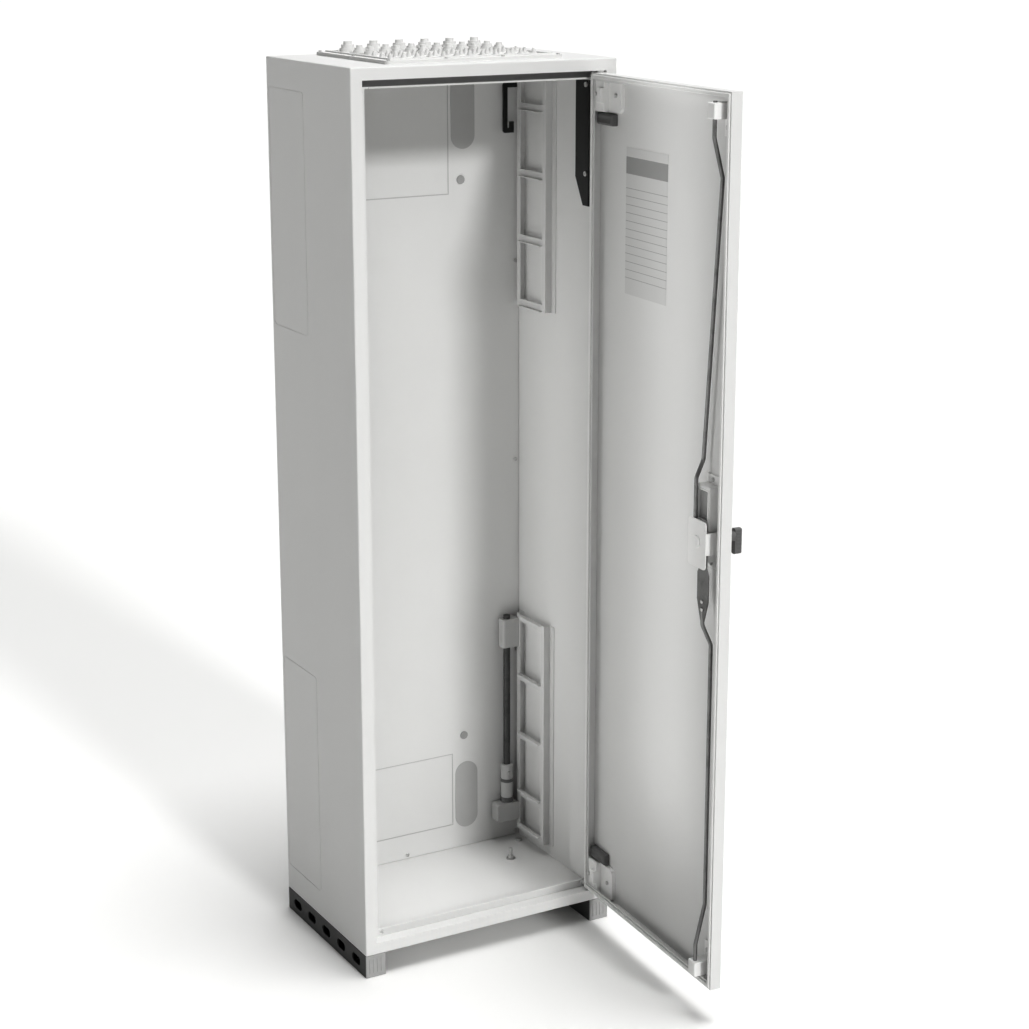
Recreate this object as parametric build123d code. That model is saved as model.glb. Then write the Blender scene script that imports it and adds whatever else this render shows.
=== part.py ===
from build123d import *
from math import cos, radians, sin
import os

# Floor-standing distribution cabinet, in millimetres. X runs to the right, Y to the back and Z up.
# The origin is on the floor, under the middle of the body. The door stands open on its right-hand pivots.

# Body
cabinet_width = 600
cabinet_depth = 400
cabinet_height = 1900
foot_height = 50
sheet = 2
bend_radius = 3
overrun = 5

# Front rim: face, step back to the seat, and the seat. Its inner edge is turned forward as a lip at the
# top and bottom, and turned back as a flange at the sides.
rim_face = 25
rim_recess = 28
seat_width = 18
lip_height = 3
lip_end = 8
side_flange = 66
side_flange_corner = 24
drain_radius = 4.5
drain_inset = 50
drain_drop = 9

# Rear opening and panel
rear_flange = 22
panel_clearance = 1
panel_screw_radius = 2.5
panel_screw_inset = 12
panel_screws_across = 3
panel_screws_up = 5
wall_hole_radius = 6
wall_hole_side = 150
wall_hole_end = 280
oblong_width = 50
oblong_height = 155
oblong_side = 144
oblong_end = 132
plug_clearance = 0.2
plug_flange = 4
plug_flange_thickness = 1.5
plug_length = 3
score_width = 1.6
score_depth = 0.7
score_corner = 10
knockout_side = 180
upper_knockout = (60, 310)
lower_knockout = (62, 238)
side_knockout = (60, 556)
side_knockout_rear = (10, 180)

# Roof cable-entry plate
entry_side = 100
entry_front = 45
entry_rear = 25
entry_border = 16
entry_thickness = 5
entry_rib_height = 3
entry_rib_width = 6
entry_gasket = 2
entry_screw_radius = 2
entry_screws_across = 4
entry_screws_deep = 3
grommet_wall = 2
grommet_flange = 2
grommet_grip = 3
grommet_grip_height = 3
grommet_fit = 0.05
grommet_step_shares = (1.0, 0.78, 0.5)
large_grommet = {"radius": 20, "height": 22, "count": 6, "row_shares": (0.82,)}
medium_grommet = {"radius": 16, "height": 17, "count": 6, "row_shares": (0.43, 0.07)}
small_grommet = {"radius": 8, "height": 11, "count": 12, "row_shares": (-0.25, -0.5, -0.75)}

# Foot rails
rail_width = 46
rail_wall = 3
rail_slot_length = 40
rail_slot_height = 20
rail_slot_end = 46
rail_slot_count = 5
cap_thickness = 4
cap_plug = 10
cap_fit = 0.3
cap_radius = 6
anchor_radius = 5.5
anchor_end = 90
foot_bolt_radius = 5
foot_bolt_end = 40
foot_bolt_fit = 0.3
foot_bolt_length = 16

# Ladder-shaped side plates
ladder_sheet = 2
ladder_standoff = 16
ladder_rear_gap = 6
ladder_foot = 16
ladder_web = 124
ladder_stile = 14
ladder_rung = 16
ladder_lip = 8
ladder_start = 30
ladder_end = 564
ladder_rungs = (124, 268, 412)

# Mounting strut with its head bracket and foot clamp, and the hook above
strut_radius = 8
strut_inset = 46
strut_rear_gap = 20
strut_fit = 0.2
strut_span = (72, 562)
head_drop = 8
head_height = 68
head_edge = 6
head_width = 42
head_depth = 26
clamp_level = 56
clamp_base_height = 44
clamp_collar_height = 140
clamp_collar_radius = 14
clamp_base_width = 58
clamp_base_depth = 30
clamp_screw_radius = 3
clamp_screw_level = 120
hook_span = (74, 182)
hook_thickness = 5
hook_bar = 10
hook_reach = 34
hook_toe = 16
hook_toe_height = 24

# Fasteners
head_ratio_share = 1.8
head_height_share = 1.1
socket_share = 0.95
nut_share = 1.75
nut_height_share = 1.5
thread_fit = 0.1
fastener_edge_share = 0.2

# Door
door_gap = 4
door_thickness = 24
door_return = 15
door_open_angle = 86.5
pivot_inset = 6.5
pin_radius = 3
pin_fit = 0.05
pin_reach = 10
pin_chamfer = 1
bush_neck_radius = 5
bush_flange_radius = 8
bush_length = 6
seat_clearance = 0.3
gasket_width = 7.5
gasket_inset = 3
gasket_thickness = 3.5

# Hinge blocks in the door's corners
hinge_block_width = 48
hinge_block_height = 74
hinge_block_fit = 0.3
hinge_cheek_width = 16
hinge_cheek_proud = 8
hinge_cheek_height = 30
hinge_cheek_drop = 26
hinge_stud_along = 21
hinge_stud_drop = 41
hinge_block_edge = 3
hinge_leaf_length = 52
hinge_leaf_thickness = 8
hinge_leaf_corner = 14
hinge_leaf_stud_along = 82
guard_length = 200
guard_tail = 58
guard_tail_share = 0.42
guard_thickness = 4
guard_depth = 52
guard_edge = 1.5
guard_top_gap = 3
guard_front_gap = 4
guard_screw_radius = 3
guard_screw_inset = 9

# Lock: case, spindle, cam and handle. Along is measured from the door's hinge edge, off from its inner face.
stud_radius = 2.5
lock_edge = 64
lock_rise = 33
case_width = 44
case_depth = 25
case_below = 40
case_above = 110
case_ear = 18
case_ear_thickness = 3
case_window = 34
case_window_depth = 18
case_window_span = (42, 100)
case_edge = 3
spindle_radius = 5
spindle_fit = 0.05
spindle_hole_fit = 0.4
cover_width = 66
cover_span = (52, 44)
cover_clear = 3
cover_leg = 44
cover_foot = 13
cover_corner = 8
cover_boss_radius = 12
cover_boss_height = 3
cam_gap = 0.5
cam_thickness = 4
cam_throw = 18
cam_end_radius = 6
cam_pin_radius = 3
cam_pin_length = 4.5
cam_hub_radius = 11
cam_screw_radius = 2.2
cam_screw_length = 14
handle_turn = 90
escutcheon_radius = 22
escutcheon_thickness = 3
handle_hub_radius = 10
handle_hub_length = 40
handle_gap = 0.4
wing_length = 52
wing_width = 13
wing_height = 16
wing_above_share = 0.3
wing_edge = 4
spindle_socket = 7

# Lock rods and their guides
rod_radius = 4
rod_bend = 22
yoke_gap = 0.5
yoke_thickness = 3
yoke_width = 24
yoke_margin = 12
yoke_slot_fit = 0.8
yoke_shift = 1
run_off = 14
crank_off = 16
tip_off = 34
tip_clearance = 4
upper_run_edge = 38
lower_run_edge = 42
upper_rod_start = 26
upper_rod_crank = (122, 157)
upper_tip_crank = (190, 115)
lower_rod_start = 130
lower_plate_neck = 48
lower_plate_shoulder = 62
lower_plate_width = 40
lower_plate_taper = 116
lower_plate_end = 158
lower_plate_tip = 12
lower_rod_crank = (166, 208)
lower_tip_crank = (200, 115)
guide_width = 26
guide_height = 30
guide_depth = 43
guide_base = 34
guide_base_thickness = 4
guide_edge = 3
guide_tip_gap = 3
guide_fit = 0.1

# Card on the door, and the earth stud
card_along = (113, 279)
card_drop = (140, 437)
card_thickness = 0.6
earth_radius = 4
earth_length = 26
earth_place_inset = 90
earth_rear_inset = 120
earth_washer_radius = 11
earth_washer_thickness = 2

# Places worked out from the sizes above
left = -cabinet_width / 2
right = cabinet_width / 2
front = -cabinet_depth / 2
back = cabinet_depth / 2
bottom = foot_height
top = cabinet_height
middle_level = (bottom + top) / 2
seat_inset = rim_face + seat_width
seat_front = front + rim_recess
seat_back = seat_front + sheet
panel_inner = back - 2 * sheet
door_left = left + rim_face + door_gap
door_right = right - rim_face - door_gap
door_bottom = bottom + rim_face + door_gap
door_top = top - rim_face - door_gap
door_inner = front + sheet
door_rear = front + door_thickness
pivot_x = door_right - pivot_inset
pivot_y = front + pivot_inset
pivot_axis = Axis((pivot_x, pivot_y, 0), (0, 0, 1))
door_width = door_right - door_left
lock_x = door_left + lock_edge
lock_level = middle_level + lock_rise
lock_along = door_width - lock_edge
upper_run_along = door_width - upper_run_edge
lower_run_along = door_width - lower_run_edge
pin_swing = cam_throw * sin(radians(handle_turn / 2))
pin_side = cam_throw * cos(radians(handle_turn / 2))
cam_start = case_depth + cam_gap
cam_end = cam_start + cam_thickness
yoke_start = cam_end + yoke_gap
yoke_middle = yoke_start + yoke_thickness / 2
upper_tip = top - seat_inset - tip_clearance
lower_tip = bottom + seat_inset + tip_clearance
rail_length = cabinet_depth - 2 * cap_thickness
rail_slot_pitch = (rail_length - 2 * rail_slot_end) / (rail_slot_count - 1)
anchor_reach = cabinet_depth / 2 - anchor_end
foot_bolt_reach = cabinet_depth / 2 - foot_bolt_end
entry_width = cabinet_width - 2 * entry_side
entry_depth = cabinet_depth - entry_front - entry_rear
entry_shift = (entry_front - entry_rear) / 2
entry_rim = entry_border + entry_rib_width
rail_middle = right - rail_width / 2
roof_plate = top + entry_gasket
strut_x = right - strut_inset
strut_y = panel_inner - strut_rear_gap
ladder_inner = right - sheet - ladder_standoff - ladder_sheet
ladder_rear = panel_inner - ladder_rear_gap
mirror_across = Plane.YZ
mirror_up = Plane.XY.offset(middle_level)


# Basic shapes

def block(x, y, z):
    size = Box(x[1] - x[0], y[1] - y[0], z[1] - z[0])
    return Pos((x[0] + x[1]) / 2, (y[0] + y[1]) / 2, (z[0] + z[1]) / 2) * size


def rod_z(radius, low, high):
    return Pos(0, 0, (low + high) / 2) * Cylinder(radius, high - low)


def rod_y(radius, low, high):
    return Rot(-90, 0, 0) * rod_z(radius, low, high)


def body_x(inset):
    return (left + inset, right - inset)


def body_z(inset):
    return (bottom + inset, top - inset)


def past(span):
    return (span[0] - overrun, span[1] + overrun)


def body_ring(outer, inner, y):
    return block(body_x(outer), y, body_z(outer)) - block(body_x(inner), past(y), body_z(inner))


def door_ring(outer, inner, y):
    solid = block((door_left + outer, door_right - outer), y, (door_bottom + outer, door_top - outer))
    hollow = block((door_left + inner, door_right - inner), past(y), (door_bottom + inner, door_top - inner))
    return solid - hollow


def opened(shape):
    return shape.rotate(pivot_axis, door_open_angle)


def save(name, *shapes):
    solids = [solid for shape in shapes for solid in shape.solids()]
    shape = solids[0] if len(solids) == 1 else Compound(children=solids)
    export_step(shape, f"parts/{name}.step")


# Fasteners stand along Z, with the underside of the head at the origin

def socket_screw(radius, length):
    head_radius = radius * head_ratio_share
    head_height = radius * head_height_share
    head = rod_z(head_radius, 0, head_height)
    head = fillet(head.edges().group_by(Axis.Z)[-1], radius * fastener_edge_share)
    socket = extrude(RegularPolygon(radius * socket_share, 6), head_height / 2)
    return head + rod_z(radius, -length, 0) - Pos(0, 0, head_height / 2) * socket


def hex_bolt(radius, length):
    head = extrude(RegularPolygon(radius * nut_share, 6), radius * head_height_share)
    return head + rod_z(radius, -length, 0)


def hex_nut(radius):
    height = radius * nut_height_share
    nut = extrude(RegularPolygon(radius * nut_share, 6), height)
    return nut - rod_z(radius + thread_fit, -overrun, height + overrun)


# Scored outline of a knock-out, cut into a flat face from the plane's origin

def score_line(width, height):
    outer = RectangleRounded(width, height, score_corner)
    inner = RectangleRounded(width - 2 * score_width, height - 2 * score_width, score_corner - score_width)
    return extrude(outer - inner, score_depth, both=True)


# Cabinet body

def entry_opening():
    half_width = entry_width / 2 - entry_border
    half_depth = entry_depth / 2 - entry_border
    return block(
        (-half_width, half_width),
        (entry_shift - half_depth, entry_shift + half_depth),
        past((top - sheet, top)),
    )


def panel_screw_places():
    places = []
    reach_x = cabinet_width / 2 - panel_screw_inset
    reach_z = (top - bottom) / 2 - panel_screw_inset
    for column in range(panel_screws_across):
        x = reach_x * (2 * column / (panel_screws_across - 1) - 1)
        places += [(x, middle_level - reach_z), (x, middle_level + reach_z)]
    for row in range(1, panel_screws_up - 1):
        z = middle_level + reach_z * (2 * row / (panel_screws_up - 1) - 1)
        places += [(-reach_x, z), (reach_x, z)]
    return places


def foot_bolt_places():
    return [
        (x, y)
        for x in (-rail_middle, rail_middle)
        for y in (-foot_bolt_reach, foot_bolt_reach)
    ]


def right_flange():
    x = (right - seat_inset, right - seat_inset + sheet)
    flange = block(x, (seat_front, seat_front + side_flange), body_z(seat_inset))
    flange = fillet(flange.edges().filter_by(Axis.X).group_by(Axis.Y)[-1], side_flange_corner)
    for level in guard_screw_levels():
        hole = Rot(0, 90, 0) * rod_z(guard_screw_radius + thread_fit, x[0] - overrun, x[1] + overrun)
        flange -= Pos(0, guard_screw_y(), level) * hole
    return flange


def cabinet_body():
    outside = block((left, right), (front, back), (bottom, top))
    outside = fillet(outside.edges(), bend_radius)
    shell = outside - block(body_x(sheet), (front + sheet, back - sheet), body_z(sheet))
    shell -= block(body_x(rim_face), past((front, front + sheet)), body_z(rim_face))
    shell -= block(body_x(rear_flange), past((back - sheet, back)), body_z(rear_flange))
    shell += body_ring(rim_face - sheet, rim_face, (front + sheet, seat_back))
    shell += body_ring(rim_face - sheet, seat_inset, (seat_front, seat_back))
    lip_y = (seat_front - lip_height, seat_back)
    for edge in (bottom + seat_inset - sheet, top - seat_inset):
        shell += block(body_x(seat_inset + lip_end), lip_y, (edge, edge + sheet))
    shell += right_flange() + mirror(right_flange(), about=mirror_across)
    for x in (left + drain_inset, right - drain_inset):
        drain = rod_y(drain_radius, seat_front - lip_height - overrun, seat_back + overrun)
        shell -= Pos(x, 0, bottom + seat_inset - drain_drop) * drain
    shell -= entry_opening()
    for x, y in entry_screw_places():
        shell -= Pos(x, y, top) * rod_z(entry_screw_radius + thread_fit, -sheet - overrun, overrun)
    pivot_hole = Pos(pivot_x, pivot_y, 0) * rod_z(bush_neck_radius + pin_fit, -overrun, sheet + overrun)
    shell -= Pos(0, 0, top - rim_face) * pivot_hole
    shell -= Pos(0, 0, bottom + rim_face - sheet) * pivot_hole
    for x, z in panel_screw_places():
        shell -= Pos(x, back, z) * rod_y(panel_screw_radius + thread_fit, -sheet - overrun, overrun)
    for x, y in foot_bolt_places():
        shell -= Pos(x, y, bottom) * rod_z(foot_bolt_radius + foot_bolt_fit, -overrun, sheet + overrun)
    earth_hole = rod_z(earth_radius + thread_fit, -overrun, sheet + overrun)
    shell -= Pos(right - earth_place_inset, back - earth_rear_inset, bottom) * earth_hole
    knock_height = side_knockout[1] - side_knockout[0]
    knock_depth = side_knockout_rear[1] - side_knockout_rear[0]
    knock_y = back - (side_knockout_rear[0] + side_knockout_rear[1]) / 2
    for level in (bottom + side_knockout[0] + knock_height / 2, top - side_knockout[0] - knock_height / 2):
        for x in (left, right):
            plane = Plane((x, knock_y, level), x_dir=(0, 1, 0), z_dir=(1, 0, 0))
            shell -= plane * score_line(knock_depth, knock_height)
    return shell


# Rear panel and its small parts

def oblong_places():
    return [
        (x, z)
        for x in body_x(oblong_side)
        for z in (bottom + oblong_end, top - oblong_end)
    ]


def oblong(grow):
    return SlotOverall(oblong_height + 2 * grow, oblong_width + 2 * grow, rotation=90)


def rear_panel():
    inset = sheet + panel_clearance
    panel = block(body_x(inset), (panel_inner, back - sheet), body_z(inset))
    through = (panel_inner, back - sheet)
    for x, z in panel_screw_places():
        panel -= Pos(x, 0, z) * rod_y(panel_screw_radius + thread_fit, *past(through))
    for x in body_x(wall_hole_side):
        for z in (bottom + wall_hole_end, top - wall_hole_end):
            panel -= Pos(x, 0, z) * rod_y(wall_hole_radius, *past(through))
    for x, z in oblong_places():
        plane = Plane((x, panel_inner, z), x_dir=(1, 0, 0), z_dir=(0, 1, 0))
        panel -= plane * extrude(oblong(0), sheet + overrun, both=True)
    for low, high in ((top - upper_knockout[1], top - upper_knockout[0]),
                      (bottom + lower_knockout[0], bottom + lower_knockout[1])):
        plane = Plane((0, panel_inner, (low + high) / 2), x_dir=(1, 0, 0), z_dir=(0, 1, 0))
        panel -= plane * score_line(cabinet_width - 2 * knockout_side, high - low)
    return panel


def oblong_plug():
    body = extrude(oblong(-plug_clearance), plug_length)
    flange = extrude(oblong(plug_flange), -plug_flange_thickness)
    return body + flange


def rear_plugs():
    plug = oblong_plug()
    return [
        Plane((x, panel_inner, z), x_dir=(1, 0, 0), z_dir=(0, 1, 0)) * plug
        for x, z in oblong_places()
    ]


def rear_screws():
    screw = Rot(90, 0, 0) * socket_screw(panel_screw_radius, 2 * sheet)
    return [Pos(x, panel_inner, z) * screw for x, z in panel_screw_places()]


# Roof cable-entry plate

def entry_screw_places():
    half_width = entry_width / 2 - entry_border / 2
    half_depth = entry_depth / 2 - entry_border / 2
    places = []
    for column in range(entry_screws_across):
        x = half_width * (2 * column / (entry_screws_across - 1) - 1)
        places += [(x, entry_shift - half_depth), (x, entry_shift + half_depth)]
    for row in range(1, entry_screws_deep - 1):
        y = entry_shift + half_depth * (2 * row / (entry_screws_deep - 1) - 1)
        places += [(-half_width, y), (half_width, y)]
    return places


def grommet_places(kind):
    middle = (kind["count"] - 1) / 2
    pitch = (entry_width - 2 * entry_rim) / kind["count"]
    reach = entry_depth / 2 - entry_rim
    return [
        ((column - middle) * pitch, entry_shift + share * reach)
        for share in kind["row_shares"]
        for column in range(kind["count"])
    ]


def entry_plate():
    low = roof_plate
    high = roof_plate + entry_thickness
    x = (-entry_width / 2, entry_width / 2)
    y = (entry_shift - entry_depth / 2, entry_shift + entry_depth / 2)
    plate = block(x, y, (low, high))
    plate = fillet(plate.edges().filter_by(Axis.Z), score_corner)
    rib_x = (x[0] + entry_border, x[1] - entry_border)
    rib_y = (y[0] + entry_border, y[1] - entry_border)
    rib = block(rib_x, rib_y, (high, high + entry_rib_height))
    inner_x = (rib_x[0] + entry_rib_width, rib_x[1] - entry_rib_width)
    inner_y = (rib_y[0] + entry_rib_width, rib_y[1] - entry_rib_width)
    plate += rib - block(inner_x, inner_y, past((high, high + entry_rib_height)))
    for kind in (large_grommet, medium_grommet, small_grommet):
        hole = rod_z(kind["radius"] - grommet_grip, low - overrun, high + overrun)
        for px, py in grommet_places(kind):
            plate -= Pos(px, py, 0) * hole
    for px, py in entry_screw_places():
        plate -= Pos(px, py, 0) * rod_z(entry_screw_radius + thread_fit, low - overrun, high + overrun)
    return plate


def entry_seal():
    outer = block(
        (-entry_width / 2, entry_width / 2),
        (entry_shift - entry_depth / 2, entry_shift + entry_depth / 2),
        (top, roof_plate),
    )
    seal = fillet(outer.edges().filter_by(Axis.Z), score_corner) - entry_opening()
    for px, py in entry_screw_places():
        seal -= Pos(px, py, 0) * rod_z(entry_screw_radius + thread_fit, top - overrun, roof_plate + overrun)
    return seal


def grommet(kind):
    radius = kind["radius"]
    height = kind["height"]
    neck = radius - grommet_grip - grommet_fit
    plate_top = roof_plate + entry_thickness
    steps = len(grommet_step_shares)
    rise = (height - grommet_flange) / steps
    solid = rod_z(radius, plate_top, plate_top + grommet_flange)
    hollow = rod_z(neck - grommet_wall, roof_plate - grommet_grip_height - overrun, plate_top)
    for number, share in enumerate(grommet_step_shares):
        step_low = plate_top + grommet_flange + number * rise
        solid += rod_z(neck * share, step_low, step_low + rise)
        hollow += rod_z(neck * share - grommet_wall, plate_top, step_low + rise - grommet_wall)
    solid += rod_z(neck, roof_plate, plate_top)
    solid += rod_z(neck + grommet_grip, roof_plate - grommet_grip_height, roof_plate)
    return solid - hollow


def grommets(kind):
    piece = grommet(kind)
    return [Pos(x, y, 0) * piece for x, y in grommet_places(kind)]


def entry_screws():
    screw = socket_screw(entry_screw_radius, entry_thickness + entry_gasket + sheet)
    return [Pos(x, y, roof_plate + entry_thickness) * screw for x, y in entry_screw_places()]


# Foot rails, drawn on the right-hand side

def foot_rail():
    x = (right - rail_width, right)
    y = (-rail_length / 2, rail_length / 2)
    rail = block(x, y, (0, foot_height))
    rail -= block((x[0] + rail_wall, x[1] - rail_wall), past(y), (rail_wall, foot_height - rail_wall))
    for number in range(rail_slot_count):
        place = (number - (rail_slot_count - 1) / 2) * rail_slot_pitch
        slot = SlotOverall(rail_slot_length, rail_slot_height)
        plane = Plane((right, place, foot_height / 2), x_dir=(0, 1, 0), z_dir=(1, 0, 0))
        rail -= plane * extrude(slot, rail_wall + overrun, both=True)
    for place in (-anchor_reach, anchor_reach):
        rail -= Pos(rail_middle, place, 0) * rod_z(anchor_radius, -overrun, rail_wall + overrun)
    for place in (-foot_bolt_reach, foot_bolt_reach):
        hole = rod_z(foot_bolt_radius + foot_bolt_fit, -overrun, rail_wall + overrun)
        rail -= Pos(rail_middle, place, foot_height - rail_wall) * hole
    return rail


def rail_cap():
    x = (right - rail_width, right)
    plate = block(x, (front, front + cap_thickness), (0, foot_height))
    plate = fillet(plate.edges().filter_by(Axis.Y), cap_radius)
    inset = rail_wall + cap_fit
    plug_y = (front + cap_thickness, front + cap_thickness + cap_plug)
    return plate + block((x[0] + inset, x[1] - inset), plug_y, (inset, foot_height - inset))


def rail_caps():
    cap = rail_cap()
    behind = mirror(cap, about=Plane.XZ)
    return [cap, behind, mirror(cap, about=mirror_across), mirror(behind, about=mirror_across)]


def foot_bolts():
    bolt = hex_bolt(foot_bolt_radius, foot_bolt_length)
    return [Pos(x, y, bottom + sheet) * bolt for x, y in foot_bolt_places()]


def foot_nuts():
    nut = Rot(180, 0, 0) * hex_nut(foot_bolt_radius)
    return [Pos(x, y, foot_height - rail_wall) * nut for x, y in foot_bolt_places()]


# Side plates, drawn low on the right-hand side

def ladder_plate():
    level = (bottom + ladder_start, bottom + ladder_end)
    rear_web = ladder_rear - ladder_foot
    front_web = rear_web - ladder_web
    wall = right - sheet
    plate = block((ladder_inner, ladder_inner + ladder_sheet), (front_web, rear_web), level)
    plate += block((ladder_inner, wall), (front_web, front_web + ladder_sheet), level)
    plate += block((ladder_inner, wall), (rear_web - ladder_sheet, rear_web), level)
    plate += block((wall - ladder_sheet, wall), (front_web - ladder_foot, front_web + ladder_sheet), level)
    plate += block((wall - ladder_sheet, wall), (rear_web - ladder_sheet, ladder_rear), level)
    edges = [ladder_start + ladder_rung / 2, *ladder_rungs, ladder_end - ladder_rung / 2]
    window_y = (front_web + ladder_stile, rear_web - ladder_stile)
    for low, high in zip(edges, edges[1:]):
        window_z = (bottom + low + ladder_rung / 2, bottom + high - ladder_rung / 2)
        plate -= block(past((ladder_inner, ladder_inner + ladder_sheet)), window_y, window_z)
    for edge in edges:
        lip_top = bottom + edge + ladder_rung / 2
        plate += block((ladder_inner - ladder_lip, ladder_inner), window_y, (lip_top - ladder_sheet, lip_top))
    return plate


# Mounting strut with bracket and clamp, drawn on the right-hand side

def strut_hole(low, high):
    return Pos(strut_x, strut_y, 0) * rod_z(strut_radius + strut_fit, low - overrun, high + overrun)


def mounting_strut():
    strut = rod_z(strut_radius, bottom + strut_span[0], bottom + strut_span[1])
    return Pos(strut_x, strut_y, 0) * strut


def strut_head():
    high = bottom + strut_span[1] - head_drop
    low = high - head_height
    x = (ladder_inner - head_width, ladder_inner)
    y = (strut_y - head_depth / 2, strut_y + head_depth / 2)
    bracket = block(x, y, (low, high))
    bracket = fillet(bracket.edges().filter_by(Axis.Z).group_by(Axis.X)[0], head_edge)
    return bracket - strut_hole(low, high)


def strut_clamp():
    low = bottom + clamp_level
    base_x = (ladder_inner - clamp_base_width, ladder_inner)
    base_y = (strut_y - clamp_base_depth / 2, strut_y + clamp_base_depth / 2)
    base = block(base_x, base_y, (low, low + clamp_base_height))
    base = fillet(base.edges().filter_by(Axis.Y), head_edge)
    collar = Pos(strut_x, strut_y, 0) * rod_z(clamp_collar_radius, low, low + clamp_collar_height)
    collar = fillet(collar.edges().group_by(Axis.Z)[-1], strut_radius / 2)
    clamp = base + collar
    clamp -= strut_hole(bottom + strut_span[0] + overrun, low + clamp_collar_height)
    screw_hole = rod_y(clamp_screw_radius + thread_fit, -clamp_collar_radius - overrun, -strut_radius)
    return clamp - Pos(strut_x, strut_y, low + clamp_screw_level) * screw_hole


def clamp_screw():
    screw = Rot(90, 0, 0) * socket_screw(clamp_screw_radius, clamp_collar_radius - strut_radius - strut_fit)
    return Pos(strut_x, strut_y - clamp_collar_radius, bottom + clamp_level + clamp_screw_level) * screw


def corner_hook():
    high = top - hook_span[0]
    low = top - hook_span[1]
    outer = ladder_inner - hook_reach
    toe = outer + hook_bar + hook_toe
    outline = Polyline(
        (ladder_inner, high),
        (outer, high),
        (outer, low),
        (toe, low),
        (toe, low + hook_toe_height),
        (toe - hook_bar, low + hook_toe_height),
        (toe - hook_bar, low + hook_bar),
        (outer + hook_bar, low + hook_bar),
        (outer + hook_bar, high - hook_bar),
        (ladder_inner, high - hook_bar),
        close=True,
    )
    plane = Plane((0, strut_y + hook_thickness / 2, 0), x_dir=(1, 0, 0), z_dir=(0, -1, 0))
    hook = extrude(plane * make_face(outline), hook_thickness)
    rounded = hook.edges().filter_by(Axis.Y).group_by(Axis.X)[0]
    return fillet(rounded, hook_bar / 2)


# Guard screwed to the right-hand side flange, beside the upper hinge

def guard_span():
    high = top - seat_inset - guard_top_gap
    return (high - guard_length, high)


def guard_screw_levels():
    low, high = guard_span()
    return (low + guard_screw_inset, high - guard_screw_inset)


def guard_screw_y():
    return seat_front + guard_front_gap + guard_screw_inset


def hinge_guard():
    flange_x = right - seat_inset
    near = seat_front + guard_front_gap
    low, high = guard_span()
    outline = Polyline(
        (near, high),
        (near + guard_depth, high),
        (near + guard_depth, low),
        (near + guard_depth * guard_tail_share, low - guard_tail),
        (near, low - guard_tail),
        close=True,
    )
    plane = Plane((flange_x, 0, 0), x_dir=(0, 1, 0), z_dir=(1, 0, 0))
    guard = extrude(plane * make_face(outline), -guard_thickness)
    guard = fillet(guard.edges().group_by(Axis.X)[0], guard_edge)
    for level in guard_screw_levels():
        hole = Rot(0, 90, 0) * rod_z(guard_screw_radius + thread_fit, flange_x - overrun, flange_x + overrun)
        guard -= Pos(0, guard_screw_y(), level) * hole
    return guard


def guard_screws():
    screw = Rot(0, -90, 0) * socket_screw(guard_screw_radius, guard_thickness + sheet)
    x = right - seat_inset - guard_thickness
    return [Pos(x, guard_screw_y(), level) * screw for level in guard_screw_levels()]


# Earth stud on the floor of the cabinet

def earth_place():
    return Pos(right - earth_place_inset, back - earth_rear_inset, bottom + sheet)


def earth_stud():
    washer = rod_z(earth_washer_radius, 0, earth_washer_thickness)
    return earth_place() * (washer + rod_z(earth_radius, -sheet, earth_length))


def earth_nut():
    return earth_place() * Pos(0, 0, earth_washer_thickness) * hex_nut(earth_radius)


# Door panel, drawn closed

def along(distance):
    return door_right - distance


def off(distance):
    return door_inner + distance


def stud_places():
    return [
        (lock_along, lock_level + case_above + case_ear / 2, case_ear_thickness),
        (lock_along, lock_level - case_below - case_ear / 2, case_ear_thickness),
        (lock_along - cover_foot_reach(), lock_level, sheet),
        (lock_along + cover_foot_reach(), lock_level, sheet),
        (upper_run_along, upper_tip - guide_tip_gap - guide_height - guide_base / 2, guide_base_thickness),
        (lower_run_along, lower_tip + guide_tip_gap + guide_height + guide_base / 2, guide_base_thickness),
        (hinge_stud_along, door_top - hinge_stud_drop, hinge_block_depth()),
        (hinge_stud_along, door_bottom + hinge_stud_drop, hinge_block_depth()),
        (hinge_leaf_stud_along, door_top - hinge_stud_drop, hinge_leaf_thickness),
        (hinge_leaf_stud_along, door_bottom + hinge_stud_drop, hinge_leaf_thickness),
    ]


def cover_foot_reach():
    return (cover_width + cover_foot) / 2


def hinge_block_depth():
    return door_thickness - 2 * sheet - hinge_block_fit


def stud_length(grip):
    return grip + stud_radius * nut_height_share + stud_radius / 2


def door_panel():
    body_x_span = (door_left, door_right)
    panel = block(body_x_span, (front, door_inner), (door_bottom, door_top))
    panel += door_ring(0, sheet, (front, door_rear))
    panel += door_ring(0, door_return, (door_rear - sheet, door_rear))
    corners = panel.edges().filter_by(Axis.Z).group_by(Axis.Y)[0]
    panel = fillet(corners, bend_radius / 2)
    spindle_hole = rod_y(spindle_radius + spindle_hole_fit, front - overrun, off(overrun))
    panel -= Pos(lock_x, 0, lock_level) * spindle_hole
    pin_hole = rod_z(pin_radius + pin_fit, -overrun, sheet + overrun)
    panel -= Pos(pivot_x, pivot_y, door_top - sheet) * pin_hole
    panel -= Pos(pivot_x, pivot_y, door_bottom) * pin_hole
    for distance, level, grip in stud_places():
        stud = rod_y(stud_radius, front + sheet / 2, off(stud_length(grip)))
        panel += Pos(along(distance), 0, level) * stud
    return panel


def door_gasket():
    return door_ring(gasket_inset, gasket_inset + gasket_width, (door_rear, door_rear + gasket_thickness))


def document_card():
    x = (along(card_along[1]), along(card_along[0]))
    z = (door_top - card_drop[1], door_top - card_drop[0])
    return block(x, (door_inner, off(card_thickness)), z)


def stud_nuts():
    nut = Rot(-90, 0, 0) * hex_nut(stud_radius)
    return [Pos(along(distance), off(grip), level) * nut for distance, level, grip in stud_places()]


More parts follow.
